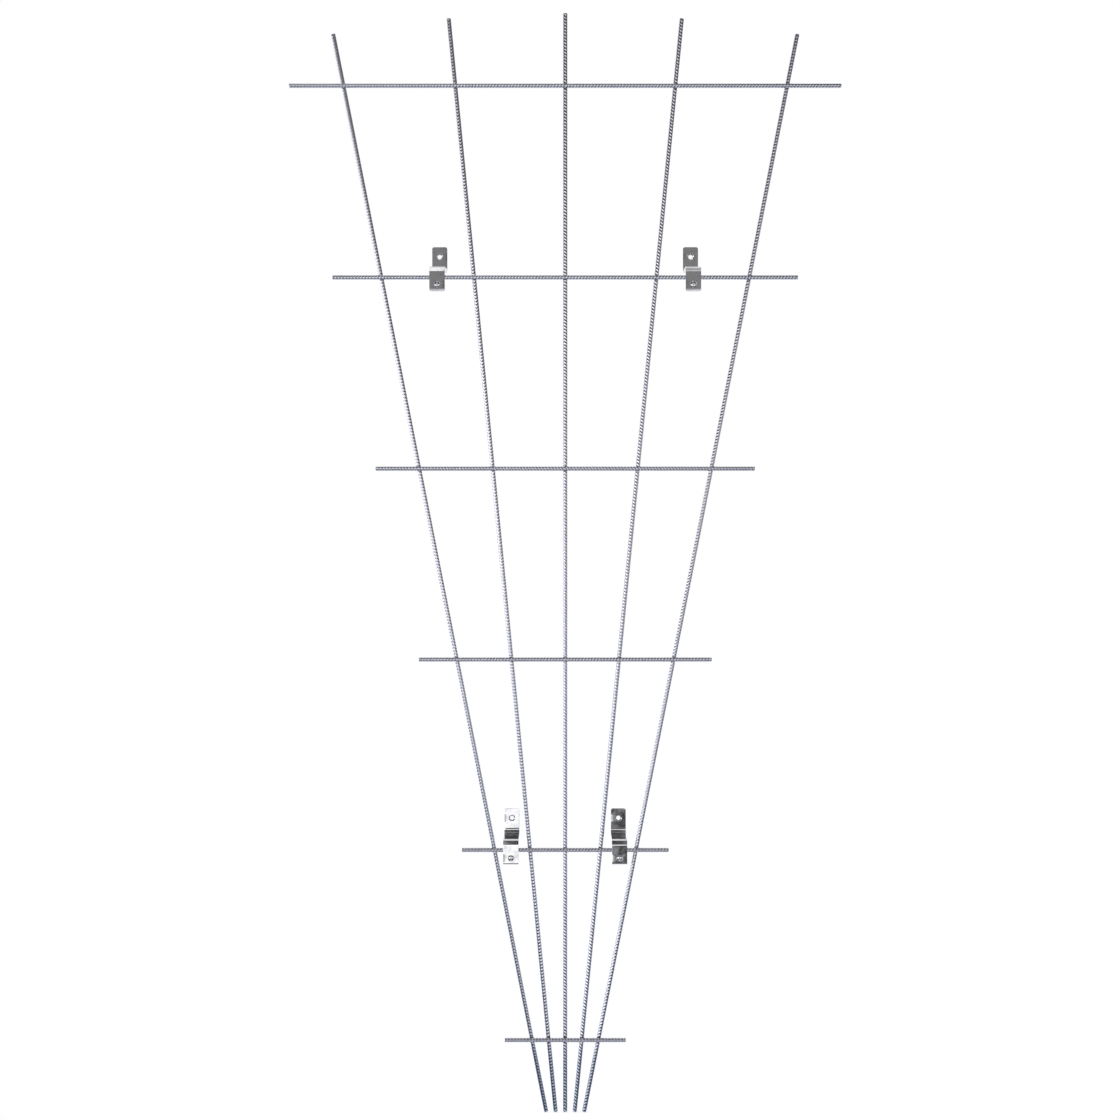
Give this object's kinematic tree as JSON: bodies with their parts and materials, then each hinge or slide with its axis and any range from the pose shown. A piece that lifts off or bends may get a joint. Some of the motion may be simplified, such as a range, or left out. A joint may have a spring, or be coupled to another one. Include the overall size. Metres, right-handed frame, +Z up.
{
  "type": "espalier frame",
  "caption": "Fan-shaped wall trellis of ribbed galvanised bars welded into a lattice, held off the wall by bent strips that clamp to its cross rods.",
  "frame": {"origin": "midway between the two upper wall screw holes, on the wall plane", "axes": "+X to the right along the cross rods as seen from the front, +Y back towards the wall, +Z up"},
  "size_m": [0.75, 0.0533, 1.5005],
  "materials": {
    "galvanised_bar": "hot-dip galvanised ribbed reinforcing bar",
    "galvanised_weld": "zinc over a rough weld nugget",
    "polished_stainless": "mirror-polished stainless strip",
    "stainless_plate": "rolled stainless sheet",
    "stainless_fastener": "bright turned stainless"
  },
  "bodies": {
    "lattice": {"fan_rod_1": "galvanised_bar", "fan_rod_2": "galvanised_bar", "fan_rod_3": "galvanised_bar", "fan_rod_4": "galvanised_bar", "fan_rod_5": "galvanised_bar", "cross_rod_1": "galvanised_bar", "cross_rod_2": "galvanised_bar", "cross_rod_3": "galvanised_bar", "cross_rod_4": "galvanised_bar", "cross_rod_5": "galvanised_bar", "cross_rod_6": "galvanised_bar", "weld_row_1": "galvanised_weld", "weld_row_2": "galvanised_weld", "weld_row_3": "galvanised_weld", "weld_row_4": "galvanised_weld", "weld_row_5": "galvanised_weld", "weld_row_6": "galvanised_weld"},
    "upper_left_bracket": {"bracket_upper_left": "polished_stainless", "clamp_plate_upper_left": "stainless_plate", "clamp_screw_upper_left": "stainless_fastener", "clamp_nut_upper_left": "stainless_fastener"},
    "upper_right_bracket": {"bracket_upper_right": "polished_stainless", "clamp_plate_upper_right": "stainless_plate", "clamp_screw_upper_right": "stainless_fastener", "clamp_nut_upper_right": "stainless_fastener"},
    "lower_left_bracket": {"bracket_lower_left": "polished_stainless", "clamp_plate_lower_left": "stainless_plate", "clamp_screw_lower_left": "stainless_fastener", "clamp_nut_lower_left": "stainless_fastener"},
    "lower_right_bracket": {"bracket_lower_right": "polished_stainless", "clamp_plate_lower_right": "stainless_plate", "clamp_screw_lower_right": "stainless_fastener", "clamp_nut_lower_right": "stainless_fastener"}
  },
  "joints": [
    {"name": "slide_upper_left", "type": "slide", "parent": "lattice", "child": "upper_left_bracket", "axis": [1, 0, 0], "range_m": [-0.0615, 0.0342]},
    {"name": "slide_upper_right", "type": "slide", "parent": "lattice", "child": "upper_right_bracket", "axis": [1, 0, 0], "range_m": [-0.0342, 0.0615]},
    {"name": "slide_lower_left", "type": "slide", "parent": "lattice", "child": "lower_left_bracket", "axis": [1, 0, 0], "range_m": [-0.0077, 0.0104]},
    {"name": "slide_lower_right", "type": "slide", "parent": "lattice", "child": "lower_right_bracket", "axis": [1, 0, 0], "range_m": [-0.0104, 0.0077]}
  ]
}
